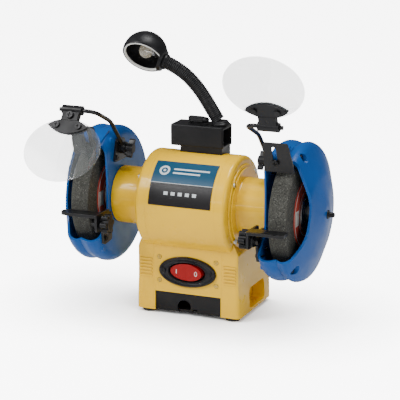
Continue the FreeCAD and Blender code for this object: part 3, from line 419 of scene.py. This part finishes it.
def softened(node, width):
    """A CAD piece with its sharp corners rounded as casting or moulding leaves them."""
    mesh = frame["nodes"][node].data.copy()
    work = bmesh.new()
    work.from_mesh(mesh)
    bmesh.ops.remove_doubles(work, verts=work.verts, dist=0.00001)
    bmesh.ops.dissolve_limit(work, angle_limit=math.radians(0.4), verts=work.verts, edges=work.edges)
    work.to_mesh(mesh)
    work.free()
    piece = new_piece(node + "_finished", mesh, SLOT_LOOKS[slot_of(node)], body_holding(node))
    bevel = piece.modifiers.new("rounded corners", "BEVEL")
    bevel.width = width
    bevel.segments = 2
    bevel.limit_method = "ANGLE"
    bevel.angle_limit = math.radians(28.0)
    bevel.harden_normals = True
    bevel.miter_outer = "MITER_ARC"
    smooth_by_angle(mesh, 32.0)
    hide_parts(node)
    return piece


def dress_cad_nodes():
    for node, item in frame["nodes"].items():
        item.data.materials.clear()
        item.data.materials.append(looks[SLOT_LOOKS[slot_of(node)]])


def neck_point(forward, up):
    return NECK_BASE + NECK_HEADING * forward + Vector((0.0, 0.0, up))


def ribbed_tube(name, start, middle, end, travelled, body):
    """Ringed tube along one smooth bend; returns the piece and the length laid so far."""
    count = max(8, int((end - start).length / RIB_PITCH * STEPS_PER_RIB))
    sideways = NECK_HEADING.cross(Vector((0.0, 0.0, 1.0))).normalized()
    rings = []
    work = bmesh.new()
    last = start
    for step in range(count + 1):
        t = step / count
        point = start * (1 - t) ** 2 + middle * (2 * t * (1 - t)) + end * t ** 2
        way = ((middle - start) * (1 - t) + (end - middle) * t).normalized()
        travelled += (point - last).length
        last = point
        other = way.cross(sideways).normalized()
        ring = []
        for turn in range(ROUND_STEPS):
            angle = 2 * math.pi * turn / ROUND_STEPS
            wave = math.sin(math.pi * travelled / RIB_PITCH)
            radius = TUBE_R + RIB_DEPTH * (1.0 - abs(wave) ** RIB_FLATNESS * 1.6)
            outward = sideways * math.cos(angle) + other * math.sin(angle)
            ring.append(work.verts.new(point + outward * radius))
        rings.append(ring)
    for near, far in zip(rings, rings[1:]):
        for turn in range(ROUND_STEPS):
            following = (turn + 1) % ROUND_STEPS
            work.faces.new((near[turn], near[following], far[following], far[turn]))
    work.faces.new(rings[0][::-1])
    work.faces.new(rings[-1])
    mesh = bpy.data.meshes.new(name)
    work.normal_update()
    work.to_mesh(mesh)
    work.free()
    smooth_by_angle(mesh, 70.0)
    piece = bpy.data.objects.new(name, mesh)
    bpy.context.scene.collection.objects.link(piece)
    mesh.materials.append(looks["sleeve"])
    if isinstance(body, str):
        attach(piece, body)
    else:
        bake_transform(piece)
    return piece, travelled


def build_neck():
    """The flexible neck: a straight end at the base, and one bend across each hidden joint."""
    joints = [neck_point(*pivot) for pivot in NECK_PIVOTS]
    bodies = ["neck_base", "neck_1", "neck_2", "neck_3", "lamp_head"]
    knots = [NECK_BASE.copy()] + joints + [HEAD]
    halves = [(knots[index] + knots[index + 1]) / 2 for index in range(len(knots) - 2)]
    last_way = (HEAD - joints[-1]).normalized()
    tip = joints[-1] + last_way * 0.012
    halves.append(tip)
    lean = (joints[0] - NECK_BASE).normalized()
    base = NECK_BASE + lean * NECK_START
    piece, travelled = ribbed_tube("neck_root", base, (base + halves[0]) / 2, halves[0], 0.0, "neck_base")
    for index, joint in enumerate(joints):
        pair = (bodies[index], bodies[index + 1])
        piece, travelled = ribbed_tube("neck_bend_" + str(index + 1), halves[index], joint,
                                       halves[index + 1], travelled, pair)
        if index < 3:
            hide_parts("neck_length_" + str(index + 1))
    build_neck_collar()


def lathe(name, profile, origin, axis, look, body, steps=64, angle=35.0):
    """A turned piece from (distance along axis, radius) points."""
    way = Vector(axis).normalized()
    turn = way.to_track_quat("Z", "Y").to_matrix()
    work = bmesh.new()
    rings = []
    for along, radius in profile:
        ring = []
        for step in range(steps):
            around = 2 * math.pi * step / steps
            local = Vector((radius * math.cos(around), radius * math.sin(around), along))
            ring.append(work.verts.new(origin + turn @ local))
        rings.append(ring)
    for near, far in zip(rings, rings[1:]):
        for step in range(steps):
            following = (step + 1) % steps
            work.faces.new((near[step], near[following], far[following], far[step]))
    bmesh.ops.remove_doubles(work, verts=work.verts, dist=0.000005)
    bmesh.ops.recalc_face_normals(work, faces=work.faces)
    mesh = bpy.data.meshes.new(name)
    work.to_mesh(mesh)
    work.free()
    smooth_by_angle(mesh, angle)
    return new_piece(name, mesh, look, body)


def build_neck_collar():
    profile = [(0.0003, 0.0), (0.0003, 0.0118), (0.0008, 0.0123), (0.0026, 0.0123), (0.0034, 0.0116),
               (0.0040, 0.0106), (0.0056, 0.0104), (0.0061, 0.0098), (0.0061, 0.0)]
    collar = lathe("neck_collar", profile, NECK_BASE, (0, 0, 1), "black", "neck_base")
    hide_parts("neck_base")


def arc_points(centre, radius, start, end, steps):
    """(along, radius) points on a circular arc, angles in degrees."""
    points = []
    for step in range(steps + 1):
        angle = math.radians(start + (end - start) * step / steps)
        points.append((centre + radius * math.sin(angle), max(radius * math.cos(angle), 0.0)))
    return points


def build_lamp_head():
    """A spun dome with a rolled lip, its collar, lamp holder and bulb."""
    mouth_angle = math.degrees(math.asin(MOUTH / SHADE_R))
    outside = arc_points(0.0, SHADE_R, -90.0, mouth_angle, 26)
    lip = [(MOUTH + 0.0006, SHADE_R - 0.0010), (MOUTH + 0.0004, SHADE_R - 0.0018)]
    inside = arc_points(0.0, SHADE_R - SHADE_WALL, mouth_angle, -90.0, 26)
    dome = lathe("shade_dome", outside + lip + inside, HEAD, HEAD_FACING, "black", "lamp_head", 72)
    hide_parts("lamp_shade")
    tip = neck_point(*NECK_PIVOTS[-1])
    way = (HEAD - tip).normalized()
    reach = (HEAD - tip).length
    meet = reach - SHADE_R
    stem = [(0.0060, 0.0), (0.0060, 0.0094), (0.0068, 0.0104), (0.0090, 0.0105), (0.0096, 0.0101),
            (meet * 0.72 + 0.004, 0.0118), (meet + 0.0020, 0.0140), (meet + 0.0058, 0.0156),
            (meet + 0.0058, 0.0)]
    collar = lathe("shade_collar", stem, tip, way, "black", "lamp_head")
    rim = [(0.0040, 0.0274), (0.0060, 0.0274), (0.0066, 0.0270), (0.0068, 0.0262), (0.0062, 0.0254),
           (0.0046, 0.0250), (0.0040, 0.0252), (0.0040, 0.0274)]
    ring = lathe("lamp_rim_finished", rim, HEAD, HEAD_FACING, "white", "lamp_head", 72)
    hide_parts("lamp_rim")
    build_bulb(way)


def build_bulb(neck_way):
    """The lamp holder, a threaded cap, the glass globe and the stem inside it."""
    back = HEAD - (neck_way * 0.9 + HEAD_FACING * 0.45).normalized() * SEAT_BACK
    centre = HEAD - HEAD_FACING * GLOBE_FORWARD
    way = (centre - back).normalized()
    reach = (centre - back).length
    holder = [(0.0, 0.0), (0.0, 0.0070), (0.0015, 0.0080), (0.0040, 0.0080), (0.0045, 0.0074),
              (0.0110, 0.0074), (0.0116, 0.0080), (0.0128, 0.0080), (0.0132, 0.0076), (0.0132, 0.0063),
              (0.0100, 0.0063), (0.0100, 0.0)]
    socket = lathe("holder_finished", holder, back, way, "black", "lamp_head")
    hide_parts("bulb_holder")
    cap = [(CAP_START, 0.0), (CAP_START, 0.0057)]
    for step in range(18):
        cap.append((CAP_START + 0.0004 * step, 0.0057 + 0.0003 * math.sin(step * math.pi / 2)))
    cap += [(CAP_START + 0.0076, 0.0052), (CAP_START + 0.0076, 0.0)]
    metal = lathe("bulb_cap", cap, back, way, "reflector", "lamp_head", 40)
    globe = [(reach - GLOBE_R * 0.88, 0.0046)] + arc_points(reach, GLOBE_R, -58.0, 90.0, 18)
    glass = lathe("bulb_globe", globe, back, way, "bulb", "lamp_head", 40)
    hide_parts("bulb")
    stem = [(CAP_START + 0.0070, 0.0), (CAP_START + 0.0070, 0.0022), (reach - 0.003, 0.0010),
            (reach, 0.0016), (reach + 0.0006, 0.0)]
    wire = lathe("bulb_stem", stem, back, way, "reflector", "lamp_head", 24)


def ellipse_ring(work, a, b, y, z):
    count = 96
    ring = []
    for step in range(count):
        angle = 2 * math.pi * step / count
        ring.append(work.verts.new((a * math.cos(angle), y, z + b * math.sin(angle))))
    return ring


def elliptic_stack(name, rows, z, look, body, replaced):
    """A moulded oval ring from (half width, half height, y) rows; the last row meets the first."""
    work = bmesh.new()
    rings = [ellipse_ring(work, a, b, y, z) for a, b, y in rows]
    for near, far in zip(rings, rings[1:]):
        for step in range(len(near)):
            following = (step + 1) % len(near)
            work.faces.new((near[step], near[following], far[following], far[step]))
    bmesh.ops.recalc_face_normals(work, faces=work.faces)
    mesh = bpy.data.meshes.new(name)
    work.to_mesh(mesh)
    work.free()
    smooth_by_angle(mesh, 40.0)
    piece = new_piece(name, mesh, look, body)
    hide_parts(replaced)
    return piece


def build_bezel():
    """A raised oval rim, a dished band and the throat round the rocker."""
    y = FRONT_Y
    rows = [(0.0405, 0.0205, y), (0.0405, 0.0205, y - 0.0016), (0.0400, 0.0200, y - 0.0030),
            (0.0388, 0.0188, y - 0.0040), (0.0374, 0.0174, y - 0.0038), (0.0366, 0.0167, y - 0.0026),
            (0.0356, 0.0160, y - 0.0022), (0.0300, 0.0152, y - 0.0024), (0.0284, 0.0147, y - 0.0036),
            (0.0272, 0.0140, y - 0.0039), (0.0264, 0.0133, y - 0.0030), (0.0262, 0.0132, y + 0.0048),
            (0.0276, 0.0144, y + 0.0048), (0.0276, 0.0144, y), (0.0405, 0.0205, y)]
    elliptic_stack("bezel_moulding", rows, SWITCH_Z, "bezel", "housing", "switch_bezel")


def build_switch_marks():
    """The plain bar and ring on the rocker's two ends, tipped as the rocker rests."""
    tip = Matrix.Rotation(math.radians(ROCKER_REST_DEGREES), 4, "Z")
    pivot = Vector((0, ROCKER_PIVOT_Y, SWITCH_Z))
    turn = Matrix.Translation(pivot) @ tip @ Matrix.Translation(-pivot)
    for name, centre, outer, inner in (("mark_ring", 0.0145, (0.0022, 0.0032), (0.0015, 0.0025)),
                                       ("mark_bar", -0.0145, (0.0005, 0.0032), None)):
        work = bmesh.new()
        count = 32
        rings = []
        for size in (outer, inner or (0.0, 0.0)):
            ring = []
            for step in range(count):
                angle = 2 * math.pi * step / count
                x = centre + size[0] * math.cos(angle)
                z = SWITCH_Z + size[1] * math.sin(angle)
                ring.append(work.verts.new(turn @ Vector((x, rocker_face(x) - 0.00008, z))))
            rings.append(ring)
        for step in range(count):
            following = (step + 1) % count
            work.faces.new((rings[0][step], rings[0][following], rings[1][following], rings[1][step]))
        bmesh.ops.remove_doubles(work, verts=work.verts, dist=0.000001)
        bmesh.ops.recalc_face_normals(work, faces=work.faces)
        mesh = bpy.data.meshes.new(name)
        work.to_mesh(mesh)
        work.free()
        mark = new_piece(name, mesh, "print", "rocker")
        solid = mark.modifiers.new("ink", "SOLIDIFY")
        solid.thickness = 0.00012


def rocker_face(x):
    """The rocker's front face: a shallow valley between two flats."""
    return -0.0398 - 0.002 * min(abs(x) / 0.026, 1.0)


def build_camera_and_light():
    scene = bpy.context.scene
    camera = bpy.data.objects.new("camera", bpy.data.cameras.new("camera"))
    camera.data.lens = CAMERA_LENS
    camera.data.sensor_width = SENSOR_WIDTH
    camera.location = CAMERA_AT
    camera.rotation_euler = (CAMERA_TARGET - CAMERA_AT).to_track_quat("-Z", "Y").to_euler()
    scene.collection.objects.link(camera)
    scene.camera = camera
    for name, place, width, height, power in SOFTBOXES:
        add_softbox(name, place, width, height, power)
    world = bpy.data.worlds.new("studio")
    world.use_nodes = True
    sky = world.node_tree.nodes["Background"]
    sky.inputs["Color"].default_value = (1.0, 1.0, 1.0, 1.0)
    sky.inputs["Strength"].default_value = WORLD_STRENGTH
    scene.world = world
    build_floor()


def add_softbox(name, place, width, height, power):
    light = bpy.data.lights.new(name, "AREA")
    light.shape = "RECTANGLE"
    light.size = width
    light.size_y = height
    light.energy = power
    item = bpy.data.objects.new(name, light)
    item.location = place
    item.rotation_euler = (SOFTBOX_TARGET - Vector(place)).to_track_quat("-Z", "Y").to_euler()
    bpy.context.scene.collection.objects.link(item)


def build_floor():
    """A pale floor that glows for the camera alone; the glow fades close to the feet as a painted contact
    shadow.
    """
    half = FLOOR_HALF
    corners = [(-half, -half, 0), (half, -half, 0), (half, half, 0), (-half, half, 0)]
    mesh = bpy.data.meshes.new("floor")
    mesh.from_pydata(corners, [], [(0, 1, 2, 3)])
    floor = bpy.data.objects.new("floor", mesh)
    bpy.context.scene.collection.objects.link(floor)
    g = Graph("studio_floor")
    tone = g.mix(g.noise(3.0), rgb(0.93, 0.93, 0.93), rgb(0.95, 0.95, 0.95))
    seen = g.math("MULTIPLY", g.add("ShaderNodeLightPath").outputs["Is Camera Ray"], FLOOR_GLOW)
    # Painted contact shadow: ambient occlusion dims the floor's glow near the object.
    painted_shadow_ao = g.add("ShaderNodeAmbientOcclusion", {"Distance": FLOOR_PAINTED_SHADOW_REACH}, samples=8).outputs["AO"]
    seen = g.math("MULTIPLY", seen, g.math("POWER", painted_shadow_ao, 2.0))
    white = rgb(1.0, 1.0, 1.0)
    mesh.materials.append(g.set(color=tone, rough=0.9, specular=0.1, glow=seen, glow_color=white))


SOFTENED = {
    "motor_housing": 0.35 * MM, "end_bells": 0.5 * MM, "lamp_box": 0.3 * MM, "base_plate": 0.4 * MM,
    "tool_rest_right": 0.4 * MM, "tool_rest_left": 0.4 * MM, "guard_brackets": 0.3 * MM,
    "rest_knob_right": 0.5 * MM, "rest_knob_left": 0.5 * MM, "arm_knob_right": 0.5 * MM,
    "arm_knob_left": 0.5 * MM, "spark_guard_right": 0.3 * MM, "spark_guard_left": 0.3 * MM,
    "switch_rocker": 0.7 * MM, "guard_inner_right": 0.5 * MM, "guard_inner_left": 0.5 * MM,
    "guard_cover_right": 0.5 * MM, "guard_cover_left": 0.5 * MM, "shield_holder_right": 0.35 * MM,
    "shield_holder_left": 0.35 * MM, "spark_brackets": 0.3 * MM, "rubber_feet": 0.5 * MM,
    "eye_shield_right": 0.5 * MM, "eye_shield_left": 0.5 * MM, "lamp_switch_wheel": 0.2 * MM}

looks = build_materials()
dress_cad_nodes()
for node_name, corner in SOFTENED.items():
    softened(node_name, corner)
build_neck()
build_lamp_head()
build_bezel()
build_switch_marks()
build_camera_and_light()
